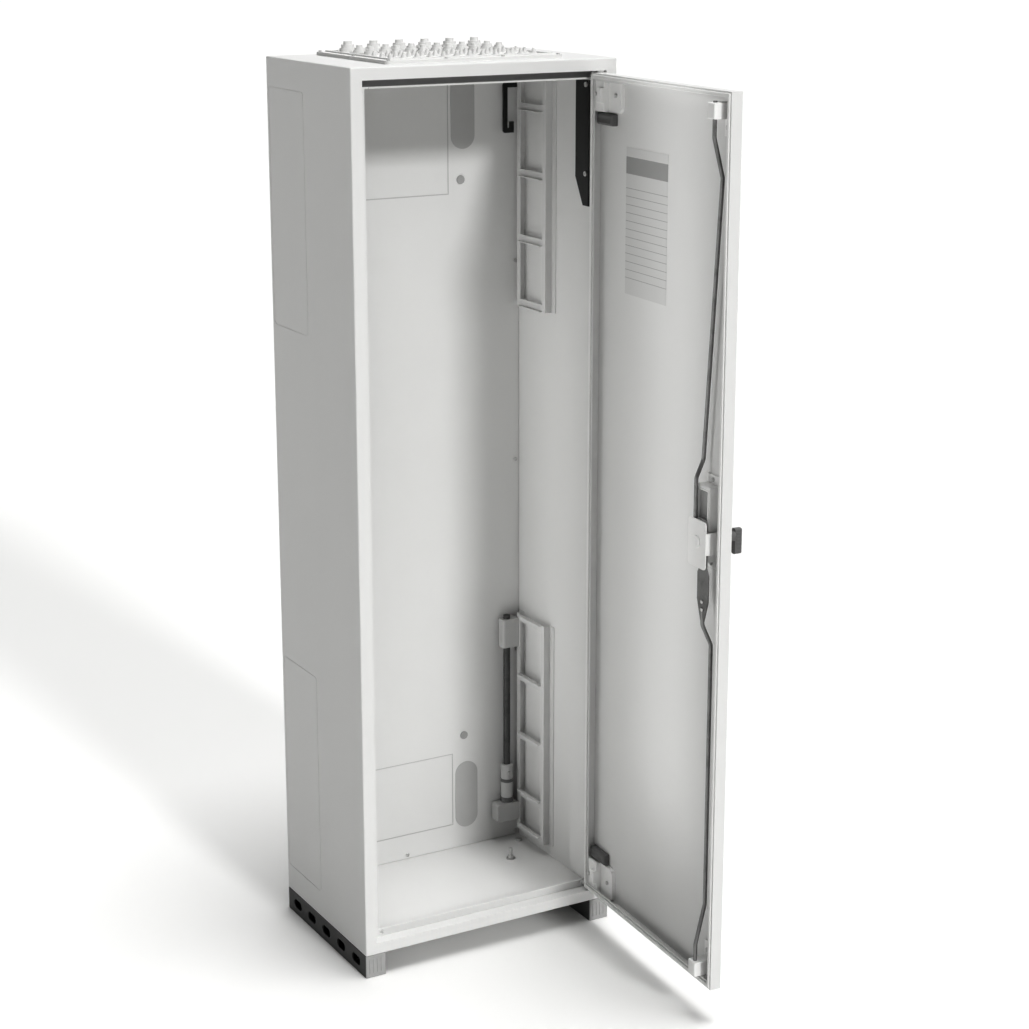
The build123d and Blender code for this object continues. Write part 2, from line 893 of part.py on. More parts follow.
# Pivot hinges, drawn at the top of the closed door

def hinge_block():
    high = door_top - sheet
    low = high - hinge_block_height
    x = (door_right - sheet - hinge_block_width, door_right - sheet)
    solid = block(x, (door_inner, off(hinge_block_depth())), (low, high))
    solid = fillet(solid.edges().group_by(Axis.Y)[-1], hinge_block_edge)
    cheek_high = high - hinge_cheek_drop
    cheek = block(
        (x[0], x[0] + hinge_cheek_width),
        (door_inner, off(hinge_block_depth() + hinge_cheek_proud)),
        (cheek_high - hinge_cheek_height, cheek_high),
    )
    solid += fillet(cheek.edges().group_by(Axis.Y)[-1], bend_radius)
    leaf_x = (x[0] - hinge_leaf_length, x[0] + hinge_block_edge)
    leaf = block(leaf_x, (door_inner, off(hinge_leaf_thickness)), (low, high))
    solid += fillet(leaf.edges().filter_by(Axis.Y).group_by(Axis.X)[0], hinge_leaf_corner)
    solid -= Pos(pivot_x, pivot_y, 0) * rod_z(pin_radius + pin_fit, low - overrun, high + overrun)
    stud_hole = rod_y(stud_radius + thread_fit, door_inner - overrun, off(hinge_block_depth() + overrun))
    for distance in (hinge_stud_along, hinge_leaf_stud_along):
        solid -= Pos(along(distance), 0, door_top - hinge_stud_drop) * stud_hole
    return solid


def hinge_pin():
    low = door_top - sheet - hinge_block_height
    pin = rod_z(pin_radius, low, door_top + door_gap + pin_reach)
    pin = chamfer(pin.edges().group_by(Axis.Z)[-1], pin_chamfer)
    return Pos(pivot_x, pivot_y, 0) * pin


def hinge_bush():
    rim = door_top + door_gap
    flange = rod_z(bush_flange_radius, door_top + seat_clearance, rim)
    neck = rod_z(bush_neck_radius, rim, rim + bush_length)
    bore = rod_z(pin_radius + pin_fit, door_top - overrun, rim + bush_length + overrun)
    return Pos(pivot_x, pivot_y, 0) * (flange + neck - bore)


# Lock case and handle

def lock_case():
    low = lock_level - case_below
    high = lock_level + case_above
    x = (lock_x - case_width / 2, lock_x + case_width / 2)
    case = block(x, (door_inner, off(case_depth)), (low, high))
    case = fillet(case.edges().group_by(Axis.Y)[-1], case_edge)
    window_x = (lock_x - case_window / 2, lock_x + case_window / 2)
    window_z = (lock_level + case_window_span[0], lock_level + case_window_span[1])
    case -= block(window_x, (off(case_depth - case_window_depth), off(case_depth + overrun)), window_z)
    case += block(x, (door_inner, off(case_ear_thickness)), (low - case_ear, high + case_ear))
    case -= Pos(lock_x, 0, lock_level) * rod_y(spindle_radius + spindle_fit, front, off(case_depth + overrun))
    for level in (high + case_ear / 2, low - case_ear / 2):
        hole = rod_y(stud_radius + thread_fit, front, off(case_ear_thickness + overrun))
        case -= Pos(lock_x, 0, level) * hole
    return case


def lock_cover():
    half = cover_width / 2
    inside = yoke_start + yoke_thickness + cover_clear
    plate_x = (lock_x - half, lock_x + half)
    plate_z = (lock_level - cover_span[0], lock_level + cover_span[1])
    cover = block(plate_x, (off(inside), off(inside + sheet)), plate_z)
    cover = fillet(cover.edges().filter_by(Axis.Y), cover_corner)
    leg_z = (lock_level - cover_leg / 2, lock_level + cover_leg / 2)
    for side in (1, -1):
        leg = sorted((lock_x + side * half, lock_x + side * (half - sheet)))
        cover += block(leg, (door_inner, off(inside + sheet)), leg_z)
        foot = sorted((lock_x + side * (half - sheet), lock_x + side * (half + cover_foot)))
        cover += block(foot, (door_inner, off(sheet)), leg_z)
        hole = rod_y(stud_radius + thread_fit, front, off(sheet + overrun))
        cover -= Pos(lock_x + side * cover_foot_reach(), 0, lock_level) * hole
    boss = rod_y(cover_boss_radius, off(inside), off(inside + sheet + cover_boss_height))
    boss = fillet(boss.edges().group_by(Axis.Y)[-1], cover_boss_height / 2)
    return cover + Pos(lock_x, 0, lock_level) * boss


def lock_spindle():
    spindle = rod_y(spindle_radius, front - escutcheon_thickness - spindle_socket, off(cam_start))
    screw_hole = rod_y(cam_screw_radius + thread_fit, off(cam_start - cam_screw_length), off(cam_end))
    return Pos(lock_x, 0, lock_level) * (spindle - screw_hole)


def lock_cam():
    hub = rod_y(cam_hub_radius, off(cam_start), off(cam_end))
    cam = hub
    for side in (1, -1):
        place = Pos(side * pin_side, 0, -side * pin_swing)
        cam += place * rod_y(cam_end_radius, off(cam_start), off(cam_end))
        cam += place * rod_y(cam_pin_radius, off(cam_start), off(cam_end + cam_pin_length))
    bar = block((-cam_throw, cam_throw), (off(cam_start), off(cam_end)), (-cam_end_radius, cam_end_radius))
    cam += Rot(0, handle_turn / 2, 0) * bar
    cam -= rod_y(cam_screw_radius + thread_fit, off(cam_start - overrun), off(cam_end + overrun))
    return Pos(lock_x, 0, lock_level) * cam


def cam_screw():
    screw = Rot(-90, 0, 0) * socket_screw(cam_screw_radius, cam_screw_length)
    return Pos(lock_x, off(cam_end), lock_level) * screw


def escutcheon():
    plate = rod_y(escutcheon_radius, front - escutcheon_thickness, front)
    plate = fillet(plate.edges().group_by(Axis.Y)[0], escutcheon_thickness / 2)
    plate -= rod_y(spindle_radius + spindle_hole_fit, front - escutcheon_thickness - overrun, front + overrun)
    return Pos(lock_x, 0, lock_level) * plate


def outer_handle():
    base = front - escutcheon_thickness - handle_gap
    hub_end = base - handle_hub_length
    hub = rod_y(handle_hub_radius, hub_end, base)
    wing = block(
        (-wing_width / 2, wing_width / 2),
        (hub_end - wing_height, hub_end),
        (wing_length * (wing_above_share - 1), wing_length * wing_above_share),
    )
    wing = fillet(wing.edges().filter_by(Axis.Y), wing_edge)
    wing = fillet(wing.edges().group_by(Axis.Y)[0], wing_edge / 2)
    socket_end = front - escutcheon_thickness - spindle_socket
    socket = rod_y(spindle_radius + spindle_fit, socket_end, base + overrun)
    return Pos(lock_x, 0, lock_level) * (hub + wing - socket)


# Lock rods, drawn with the lock released

def bent_rod(points):
    path = FilletPolyline(*points, radius=rod_bend)
    return sweep(Plane(path @ 0, z_dir=path % 0) * Circle(rod_radius), path=path)


def yoke_slot(shift, level):
    inner = pin_side - cam_pin_radius - yoke_slot_fit
    outer = cam_throw + cam_pin_radius + yoke_slot_fit
    span = sorted((lock_x + shift * inner, lock_x + shift * outer))
    half = cam_pin_radius + yoke_slot_fit
    through = past((off(yoke_start), off(yoke_start + yoke_thickness)))
    return block(span, through, (level - half, level + half))


def upper_rod():
    pin_x = lock_x + cam_throw - yoke_shift
    pin_level = lock_level - pin_swing
    plate_top = lock_level + upper_rod_start + yoke_margin
    plate = block(
        (pin_x - yoke_width / 2, pin_x + yoke_width / 2),
        (off(yoke_start), off(yoke_start + yoke_thickness)),
        (pin_level - yoke_margin, plate_top),
    )
    plate = fillet(plate.edges().filter_by(Axis.Y), yoke_thickness)
    points = [
        (pin_x, off(yoke_middle), lock_level + upper_rod_start),
        (pin_x, off(yoke_middle), lock_level + upper_rod_crank[0]),
        (pin_x, off(crank_off), lock_level + upper_rod_crank[1]),
        (along(upper_run_along), off(run_off), top - upper_tip_crank[0]),
        (along(upper_run_along), off(tip_off), top - upper_tip_crank[1]),
        (along(upper_run_along), off(tip_off), upper_tip),
    ]
    return plate + bent_rod(points) - yoke_slot(1, pin_level)


def lower_rod():
    pin_x = lock_x - cam_throw + yoke_shift
    pin_level = lock_level + pin_swing
    outline = Polyline(
        (pin_x - yoke_width / 2, pin_level + yoke_margin),
        (pin_x + yoke_width / 2, pin_level + yoke_margin),
        (pin_x + yoke_width / 2, lock_level - lower_plate_neck),
        (pin_x + lower_plate_width / 2, lock_level - lower_plate_shoulder),
        (pin_x + lower_plate_width / 2, lock_level - lower_plate_taper),
        (pin_x + lower_plate_tip / 2, lock_level - lower_plate_end),
        (pin_x - lower_plate_tip / 2, lock_level - lower_plate_end),
        (pin_x - lower_plate_width / 2, lock_level - lower_plate_taper),
        (pin_x - lower_plate_width / 2, lock_level - lower_plate_shoulder),
        (pin_x - yoke_width / 2, lock_level - lower_plate_neck),
        close=True,
    )
    plane = Plane((0, off(yoke_start + yoke_thickness), 0), x_dir=(1, 0, 0), z_dir=(0, -1, 0))
    plate = extrude(plane * make_face(outline), yoke_thickness)
    points = [
        (pin_x, off(yoke_middle), lock_level - lower_rod_start),
        (pin_x, off(yoke_middle), lock_level - lower_rod_crank[0]),
        (along(lower_run_along), off(run_off), lock_level - lower_rod_crank[1]),
        (along(lower_run_along), off(run_off), bottom + lower_tip_crank[0]),
        (along(lower_run_along), off(tip_off), bottom + lower_tip_crank[1]),
        (along(lower_run_along), off(tip_off), lower_tip),
    ]
    return plate + bent_rod(points) - yoke_slot(-1, pin_level)


def rod_guide(distance, near, direction):
    far = near + direction * guide_height
    base_end = far + direction * guide_base
    x = (along(distance) - guide_width / 2, along(distance) + guide_width / 2)
    guide = block(x, (door_inner, off(guide_depth)), sorted((near, far)))
    guide = fillet(guide.edges().group_by(Axis.Y)[-1], guide_edge)
    guide += block(x, (door_inner, off(guide_base_thickness)), sorted((far, base_end)))
    rod_hole = rod_z(rod_radius + guide_fit, *past(sorted((near, base_end))))
    guide -= Pos(along(distance), off(tip_off), 0) * rod_hole
    stud_hole = rod_y(stud_radius + thread_fit, front, off(guide_base_thickness + overrun))
    return guide - Pos(along(distance), 0, (far + base_end) / 2) * stud_hole


# Write one file for each piece

os.makedirs("parts", exist_ok=True)

save("cabinet_body", cabinet_body())
save("rear_panel", rear_panel())
save("rear_oblong_plugs", *rear_plugs())
save("rear_panel_screws", *rear_screws())
save("roof_entry_plate", entry_plate())
save("roof_entry_gasket", entry_seal())
save("roof_entry_screws", *entry_screws())
save("large_grommets", *grommets(large_grommet))
save("medium_grommets", *grommets(medium_grommet))
save("small_grommets", *grommets(small_grommet))

save("foot_rail_right", foot_rail())
save("foot_rail_left", mirror(foot_rail(), about=mirror_across))
save("rail_end_caps", *rail_caps())
save("foot_bolts", *foot_bolts())
save("foot_nuts", *foot_nuts())

for level_name, plate in (("lower", ladder_plate()), ("upper", mirror(ladder_plate(), about=mirror_up))):
    save(f"{level_name}_side_plate_right", plate)
    save(f"{level_name}_side_plate_left", mirror(plate, about=mirror_across))

for name, piece in (
    ("mounting_strut", mounting_strut()),
    ("strut_head_bracket", strut_head()),
    ("strut_foot_clamp", strut_clamp()),
    ("clamp_screw", clamp_screw()),
    ("corner_hook", corner_hook()),
):
    save(f"{name}_right", piece)
    save(f"{name}_left", mirror(piece, about=mirror_across))

save("hinge_side_guard", hinge_guard())
save("guard_screws", *guard_screws())
save("earth_stud", earth_stud())
save("earth_nut", earth_nut())
save("upper_hinge_bush", hinge_bush())
save("lower_hinge_bush", mirror(hinge_bush(), about=mirror_up))

save("door_panel", opened(door_panel()))
save("door_gasket", opened(door_gasket()))
save("document_card", opened(document_card()))
save("door_stud_nuts", *[opened(nut) for nut in stud_nuts()])
save("upper_hinge_block", opened(hinge_block()))
save("lower_hinge_block", opened(mirror(hinge_block(), about=mirror_up)))
save("upper_hinge_pin", opened(hinge_pin()))
save("lower_hinge_pin", opened(mirror(hinge_pin(), about=mirror_up)))
save("lock_case", opened(lock_case()))
save("lock_cover", opened(lock_cover()))
save("upper_rod_guide", opened(rod_guide(upper_run_along, upper_tip - guide_tip_gap, -1)))
save("lower_rod_guide", opened(rod_guide(lower_run_along, lower_tip + guide_tip_gap, 1)))
save("handle_escutcheon", opened(escutcheon()))

save("outer_handle", opened(outer_handle()))
save("lock_spindle", opened(lock_spindle()))
save("lock_cam", opened(lock_cam()))
save("cam_screw", opened(cam_screw()))
save("upper_lock_rod", opened(upper_rod()))
save("lower_lock_rod", opened(lower_rod()))
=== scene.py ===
import bpy
import math
from mathutils import Matrix, Vector


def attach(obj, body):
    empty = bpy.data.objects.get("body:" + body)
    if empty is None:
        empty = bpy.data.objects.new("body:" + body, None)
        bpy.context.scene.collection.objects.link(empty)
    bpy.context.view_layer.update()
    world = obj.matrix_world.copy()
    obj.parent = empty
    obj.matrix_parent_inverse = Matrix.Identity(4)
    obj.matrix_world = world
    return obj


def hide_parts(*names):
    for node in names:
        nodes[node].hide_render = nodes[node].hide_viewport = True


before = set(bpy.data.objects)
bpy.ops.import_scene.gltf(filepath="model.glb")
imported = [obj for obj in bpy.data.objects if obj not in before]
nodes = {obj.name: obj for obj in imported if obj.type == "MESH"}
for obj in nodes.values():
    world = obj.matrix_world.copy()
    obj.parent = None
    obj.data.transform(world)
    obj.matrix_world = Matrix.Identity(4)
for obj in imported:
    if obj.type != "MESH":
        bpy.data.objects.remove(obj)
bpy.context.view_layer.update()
print("frame loaded:", len(nodes), "pieces")


class Wire:  # a shader socket that can be used in sums
    def __init__(self, finish, socket):
        self.finish = finish
        self.socket = socket

    def calc(self, how, first, second):
        return self.finish.node("Math", {"operation": how}, {0: first, 1: second})

    def __add__(self, other):
        return self.calc("ADD", self, other)

    def __radd__(self, other):
        return self.calc("ADD", other, self)

    def __sub__(self, other):
        return self.calc("SUBTRACT", self, other)

    def __rsub__(self, other):
        return self.calc("SUBTRACT", other, self)

    def __mul__(self, other):
        return self.calc("MULTIPLY", self, other)

    def __truediv__(self, other):
        return self.calc("DIVIDE", self, other)

    def __gt__(self, other):
        return self.calc("GREATER_THAN", self, other)

    def __lt__(self, other):
        return self.calc("LESS_THAN", self, other)

    def clamp(self):
        return self.finish.node("Clamp", {}, {"Value": self})


class Finish:  # one material, or the sky, and the nodes in it
    def __init__(self, name, sky=False):
        self.material = (bpy.data.worlds if sky else bpy.data.materials).new(name)
        self.material.use_nodes = True
        self.tree = self.material.node_tree
        self.shader = self.tree.nodes["Background" if sky else "Principled BSDF"]
        self.place = None if sky else self.node("TexCoord", {}, {}, "Object")

    def node(self, kind, settings, inputs, output=0):
        made = self.tree.nodes.new("ShaderNode" + kind)
        for key, value in settings.items():
            if key == "stops":
                ramp = made.color_ramp.elements
                for stop, (spot, shade) in zip(ramp, value):  # a new ramp has two stops
                    stop.position = spot
                    stop.color = (shade, shade, shade, 1)
            else:
                setattr(made, key, value)
        for key, value in inputs.items():
            self.feed(made.inputs[key], value)
        return Wire(self, made.outputs[output])

    def feed(self, socket, value):
        if isinstance(value, Wire):
            self.tree.links.new(value.socket, socket)
        else:
            socket.default_value = value

    def noise(self, scale, detail, rough, stretch=(1, 1, 1)):
        spot = self.node("Mapping", {}, {"Vector": self.place, "Scale": stretch})
        inputs = {"Vector": spot, "Scale": scale, "Detail": detail, "Roughness": rough}
        return self.node("TexNoise", {}, inputs)

    def cells(self, scale):
        return self.node("TexVoronoi", {}, {"Vector": self.place, "Scale": scale}, "Distance")

    def ramp(self, value, stops):
        return self.node("ValToRGB", {"stops": stops}, {"Fac": value})

    def mix(self, share, low, high):  # by number, because the node repeats its socket names
        return self.node("Mix", {"data_type": "RGBA"}, {0: share, 6: low, 7: high}, 2)

    def axes(self):
        split = self.node("SeparateXYZ", {}, {"Vector": self.place})
        return [Wire(self, out) for out in split.socket.node.outputs]

    def bump(self, height, depth, strength):
        normal = self.node("Bump", {}, {"Strength": strength, "Distance": depth, "Height": height})
        self.feed(self.shader.inputs["Normal"], normal)

    def set(self, **values):
        for key, value in values.items():
            self.feed(self.shader.inputs[key.replace("_", " ")], value)


blueShare = 0.99  # greys are a trace warm


def grey(level):
    return (level, level, level * blueShare, 1)


# powder-coated sheet: orange peel, soft clouds, faint streaks, a little dust low down, hairlines along scores
def paintFinish(name, look, scores=()):
    paint = Finish(name)
    x, z = paint.axes()[::2]
    cloud = paint.noise(*look["cloud"])
    streak = paint.noise(*look["streak"])
    speck = paint.ramp(paint.noise(*look["speck"]), look["speckStops"])
    peel = paint.noise(*look["peel"])
    grain = paint.noise(*look["grain"])
    low = ((look["dustTop"] - z) / look["dustTop"]).clamp()
    dust = (low * cloud * look["dust"]).clamp()
    blend = cloud * look["cloudShare"] + streak * look["streakShare"]
    tone = paint.mix(blend, grey(look["dark"]), grey(look["light"]))
    tone = paint.mix(speck * look["speckShare"], tone, grey(look["dark"] * look["speckTone"]))
    tone = paint.mix(dust, tone, grey(look["dark"] * look["dustTone"]))
    across = paint.node("Math", {"operation": "ABSOLUTE"}, {0: x})
    for half, lowest, highest, hair in scores:
        outer = (across < half + hair) * (z > lowest - hair) * (z < highest + hair)
        inner = (across < half - hair) * (z > lowest + hair) * (z < highest - hair)
        line = (outer - inner) * look["scoreShare"]
        tone = paint.mix(line, tone, grey(look["dark"] * look["scoreTone"]))
    rough = look["rough"] + cloud * look["cloudRough"] + dust * look["dustRough"]
    paint.set(Base_Color=tone, Roughness=rough, Specular_IOR_Level=look["specular"])
    paint.bump(peel * look["peelShare"] + grain * look["grainShare"], look["peelDepth"], look["peelStrength"])
    return paint.material


# moulded plastic: fine spark texture, slightly uneven tone
def plasticFinish(name, look):
    plastic = Finish(name)
    cloud = plastic.noise(*look["cloud"])
    spark = plastic.cells(look["sparkScale"])
    flow = plastic.noise(*look["flow"])
    blend = cloud * look["cloudShare"] + flow * look["flowShare"]
    tone = plastic.mix(blend, grey(look["dark"]), grey(look["light"]))
    rough = look["rough"] + spark * look["sparkRough"]
    plastic.set(Base_Color=tone, Roughness=rough, Specular_IOR_Level=look["specular"])
    plastic.bump(spark + cloud * look["cloudRise"], look["sparkDepth"], look["sparkStrength"])
    return plastic.material


# plated or drawn steel: lengthwise brush marks, blotches in the plating
def steelFinish(name, look):
    steel = Finish(name)
    blotch = steel.noise(*look["blotch"])
    brush = steel.noise(*look["brush"])
    tarnish = steel.ramp(steel.noise(*look["tarnish"]), look["tarnishStops"])
    blend = blotch * look["blotchShare"] + brush * look["brushShare"]
    tone = steel.mix(blend, grey(look["dark"]), grey(look["light"]))
    tone = steel.mix(tarnish * look["tarnishShare"], tone, grey(look["dark"] * look["tarnishTone"]))
    steel.set(Base_Color=tone, Metallic=look["metal"])
    steel.set(Roughness=look["rough"] + brush * look["brushRough"] + tarnish * look["tarnishRough"])
    steel.bump(brush, look["brushDepth"], look["brushStrength"])
    return steel.material


# foamed sealing strip: small open cells under a thin skin
def foamFinish(name, look):
    foam = Finish(name)
    swell = foam.noise(*look["swell"])
    pit = foam.ramp(foam.cells(look["cellScale"]), look["cellStops"])
    blend = pit * look["pitShare"] + swell * look["swellShare"]
    tone = foam.mix(blend, grey(look["dark"]), grey(look["light"]))
    rough = look["rough"] + swell * look["swellRough"]
    foam.set(Base_Color=tone, Roughness=rough, Specular_IOR_Level=look["specular"])
    foam.bump(pit * look["rise"] + swell * look["rise"], look["cellDepth"], look["cellStrength"])
    return foam.material


# blank form card: paper fibres, a plain header band, ruled empty rows
def cardFinish(name, look):
    card = Finish(name)
    z = card.axes()[2]
    fibre = card.noise(*look["fibre"])
    stain = card.noise(*look["stain"])
    row = (z - look["base"]) / look["rowPitch"]
    part = card.node("Math", {"operation": "FRACT"}, {0: row})
    rule = (part < look["ruleShare"]) * (z < look["ruledTop"]) * (z > look["ruledLow"])
    band = (z > look["bandLow"]) * (z < look["bandTop"])
    blend = fibre * look["fibreShare"] + stain * look["stainShare"]
    tone = card.mix(blend, grey(look["dark"]), grey(look["light"]))
    tone = card.mix(rule * look["ruleInk"], tone, grey(look["ink"]))
    tone = card.mix(band * look["bandInk"], tone, grey(look["ink"]))
    rough = look["rough"] + fibre * look["fibreRough"]
    card.set(Base_Color=tone, Roughness=rough, Specular_IOR_Level=look["specular"])
    card.bump(fibre, look["fibreDepth"], look["fibreStrength"])
    return card.material


# noises are scale, detail, roughness and, where it is drawn out, stretch
shellLook = {
    "dark": 0.745, "light": 0.805, "cloud": (2.2, 3.0, 0.55), "cloudShare": 0.6, "cloudRough": 0.10,
    "streak": (7.0, 2.0, 0.5, (1, 1, 0.06)), "streakShare": 0.4, "speck": (1500.0, 1.0, 0.5),
    "speckStops": [(0.36, 1.0), (0.42, 0.0)], "speckShare": 0.10, "speckTone": 0.8,
    "peel": (420.0, 2.0, 0.5), "peelShare": 0.8, "peelDepth": 0.0004, "peelStrength": 0.16,
    "grain": (2600.0, 1.0, 0.6), "grainShare": 0.2, "rough": 0.40, "specular": 0.42,
    "dust": 0.10, "dustTop": 0.30, "dustTone": 0.62, "dustRough": 0.3, "scoreShare": 0.55, "scoreTone": 0.5,
}
innerLook = dict(shellLook, dark=0.70, light=0.77, cloud=(5.0, 3.0, 0.55))
castLook = dict(shellLook, dark=0.89, light=0.95, cloud=(25.0, 3.0, 0.55), peel=(300.0, 2.0, 0.5),
                peelStrength=0.3, dust=0.0)
bracketLook = dict(castLook, dark=0.50, light=0.60)
railLook = dict(shellLook, dark=0.065, light=0.10, cloud=(14.0, 3.0, 0.55), rough=0.5, dust=0.0)
# half width, low, high, half the line
rearScores = [(0.120, 1.590, 1.840, 0.0011), (0.120, 0.112, 0.288, 0.0011)]
plateLook = {
    "dark": 0.80, "light": 0.86, "cloud": (20.0, 2.0, 0.5), "cloudShare": 0.7, "cloudRise": 0.3,
    "flow": (30.0, 4.0, 0.6, (1, 1, 0.3)), "flowShare": 0.3, "sparkScale": 900.0, "sparkDepth": 0.0002,
    "sparkStrength": 0.5, "sparkRough": 0.15, "rough": 0.48, "specular": 0.4,
}
plugLook = dict(plateLook, dark=0.50, light=0.56)
capLook = dict(plateLook, dark=0.38, light=0.47, cloud=(60.0, 2.0, 0.5), sparkScale=600.0, sparkDepth=0.0004)
gripLook = dict(plateLook, dark=0.13, light=0.18, cloud=(60.0, 2.0, 0.5))
blackLook = dict(plateLook, dark=0.010, light=0.020, cloud=(40.0, 2.0, 0.5), rough=0.42)
zincLook = {
    "dark": 0.55, "light": 0.74, "metal": 0.9, "rough": 0.26, "blotch": (90.0, 4.0, 0.6), "blotchShare": 0.5,
    "brush": (240.0, 3.0, 0.6, (1, 1, 0.2)), "brushShare": 0.5, "brushDepth": 0.0001, "brushStrength": 0.4,
    "brushRough": 0.16, "tarnish": (31.5, 5.0, 0.65), "tarnishStops": [(0.48, 0.0), (0.72, 1.0)],
    "tarnishShare": 0.25, "tarnishTone": 0.55, "tarnishRough": 0.12,
}
rodLook = dict(zincLook, dark=0.20, light=0.33, brush=(420.0, 3.0, 0.6, (1, 1, 0.03)), tarnishShare=0.5,
               rough=0.34)
strutLook = dict(rodLook, dark=0.07, light=0.13, metal=0.6)
foamLook = {
    "dark": 0.80, "light": 0.90, "cellScale": 650.0, "cellStops": [(0.0, 0.0), (0.5, 1.0)],
    "cellDepth": 0.0006, "cellStrength": 0.7, "pitShare": 0.7, "swell": (60.0, 3.0, 0.6), "swellShare": 0.3,
    "swellRough": 0.1, "rise": 0.6, "rough": 0.82, "specular": 0.25,
}
cardLook = {
    "dark": 0.66, "light": 0.74, "ink": 0.20, "ruleInk": 0.55, "bandInk": 0.6, "base": 1.434,
    "rowPitch": 0.0165, "ruleShare": 0.07, "ruledTop": 1.655, "ruledLow": 1.452, "bandLow": 1.678,
    "bandTop": 1.712, "fibre": (500.0, 5.0, 0.7, (1, 1, 0.4)), "fibreShare": 0.5, "fibreRough": 0.2,
    "fibreDepth": 0.00015, "fibreStrength": 0.5, "stain": (9.0, 3.0, 0.5), "stainShare": 0.5, "rough": 0.62,
    "specular": 0.25,
}

finishes = {
    "shellPaint": paintFinish("shellPaint", shellLook),
    "rearPaint": paintFinish("rearPaint", shellLook, rearScores),
    "innerPaint": paintFinish("innerPaint", innerLook),
    "castPaint": paintFinish("castPaint", castLook),
    "bracketPaint": paintFinish("bracketPaint", bracketLook),
    "railPaint": paintFinish("railPaint", railLook),
    "palePlastic": plasticFinish("palePlastic", plateLook),
    "plugPlastic": plasticFinish("plugPlastic", plugLook),
    "capPlastic": plasticFinish("capPlastic", capLook),
    "gripPlastic": plasticFinish("gripPlastic", gripLook),
    "blackPlastic": plasticFinish("blackPlastic", blackLook),
    "zincSteel": steelFinish("zincSteel", zincLook),
    "rodSteel": steelFinish("rodSteel", rodLook),
    "strutSteel": steelFinish("strutSteel", strutLook),
    "sealFoam": foamFinish("sealFoam", foamLook),
    "blankCard": cardFinish("blankCard", cardLook),
}
print("finishes made:", len(finishes))

worn = {
    "shellPaint": ["cabinet_body", "door_panel"],
    "rearPaint": ["rear_panel"],
    "innerPaint": ["lower_side_plate_right", "lower_side_plate_left", "upper_side_plate_right",
                   "upper_side_plate_left"],
    "castPaint": ["upper_hinge_block", "lower_hinge_block", "lock_case", "lock_cover", "upper_rod_guide",
                  "lower_rod_guide"],
    "bracketPaint": ["strut_head_bracket_right", "strut_head_bracket_left", "strut_foot_clamp_right",
                     "strut_foot_clamp_left"],
    "railPaint": ["foot_rail_right", "foot_rail_left"],
    "palePlastic": ["roof_entry_plate", "large_grommets", "medium_grommets", "small_grommets"],
    "plugPlastic": ["rear_oblong_plugs"],
    "capPlastic": ["rail_end_caps"],
    "blackPlastic": ["corner_hook_right", "corner_hook_left", "hinge_side_guard"],
    "gripPlastic": ["outer_handle", "handle_escutcheon"],
    "zincSteel": ["rear_panel_screws", "roof_entry_screws", "foot_bolts", "foot_nuts", "clamp_screw_right",
                  "clamp_screw_left", "guard_screws", "earth_stud", "earth_nut", "upper_hinge_bush",
                  "lower_hinge_bush", "door_stud_nuts", "upper_hinge_pin", "lower_hinge_pin", "lock_spindle",
                  "lock_cam", "cam_screw"],
    "rodSteel": ["upper_lock_rod", "lower_lock_rod"],
    "strutSteel": ["mounting_strut_right", "mounting_strut_left"],
    "sealFoam": ["door_gasket", "roof_entry_gasket"],
    "blankCard": ["document_card"],
}
for finishName, wearers in worn.items():
    for wearer in wearers:
        slots = nodes[wearer].data.materials
        slots.clear()
        slots.append(finishes[finishName])
print("CAD nodes dressed:", sum(len(wearers) for wearers in worn.values()), "of", len(nodes))

doorSwing = {"pivot": Vector((0.2645, -0.1935, 0)), "rest": math.radians(86.5)}
middleHeight = 0.975
lyingDown = (math.pi / 2, 0, 0)
# square is the least share of a normal along the axis that its face looks down
modelling = {"discSides": 48, "square": 0.9, "bevelFrom": math.radians(30), "smoothTo": math.radians(35)}


def choose(piece):
    bpy.ops.object.select_all(action="DESELECT")
    piece.select_set(True)
    bpy.context.view_layer.objects.active = piece


def settle(piece):  # place, turn and scale go into the mesh
    choose(piece)
    bpy.ops.object.transform_apply(location=True, rotation=True, scale=True)


def hang(piece):  # from the closed door to the door at rest
    pivot = doorSwing["pivot"]
    turn = Matrix.Rotation(doorSwing["rest"], 4, "Z")
    swing = Matrix.Translation(pivot) @ turn @ Matrix.Translation(-pivot)
    piece.matrix_world = swing @ piece.matrix_world
    settle(piece)


def block(name, low, high):
    bpy.ops.mesh.primitive_cube_add(size=1, location=[(a + b) / 2 for a, b in zip(low, high)])
    piece = bpy.context.object
    piece.name = name
    piece.scale = [b - a for a, b in zip(low, high)]
    settle(piece)
    return piece


def disc(name, radius, depth, place, turn):
    bpy.ops.mesh.primitive_cylinder_add(vertices=modelling["discSides"], radius=radius, depth=depth,
                                        location=place, rotation=turn)
    piece = bpy.context.object
    piece.name = name
    settle(piece)
    return piece


def edit(piece, how="SELECT"):
    choose(piece)
    bpy.ops.object.mode_set(mode="EDIT")
    bpy.ops.mesh.select_mode(type="FACE")
    bpy.ops.mesh.select_all(action=how)


def leave():
    bpy.ops.object.mode_set(mode="OBJECT")


def pick(piece, test):  # faces that pass the test stay selected, in edit mode
    edit(piece, "DESELECT")
    leave()
    for face in piece.data.polygons:
        face.select = test(face)
    bpy.ops.object.mode_set(mode="EDIT")


def isFront(face):
    return face.normal.y < -modelling["square"]


def isBack(face):
    return face.normal.y > modelling["square"]


def isSide(face):
    return abs(face.normal.x) > modelling["square"]


def isRound(face):
    return abs(face.normal.z) < modelling["square"]


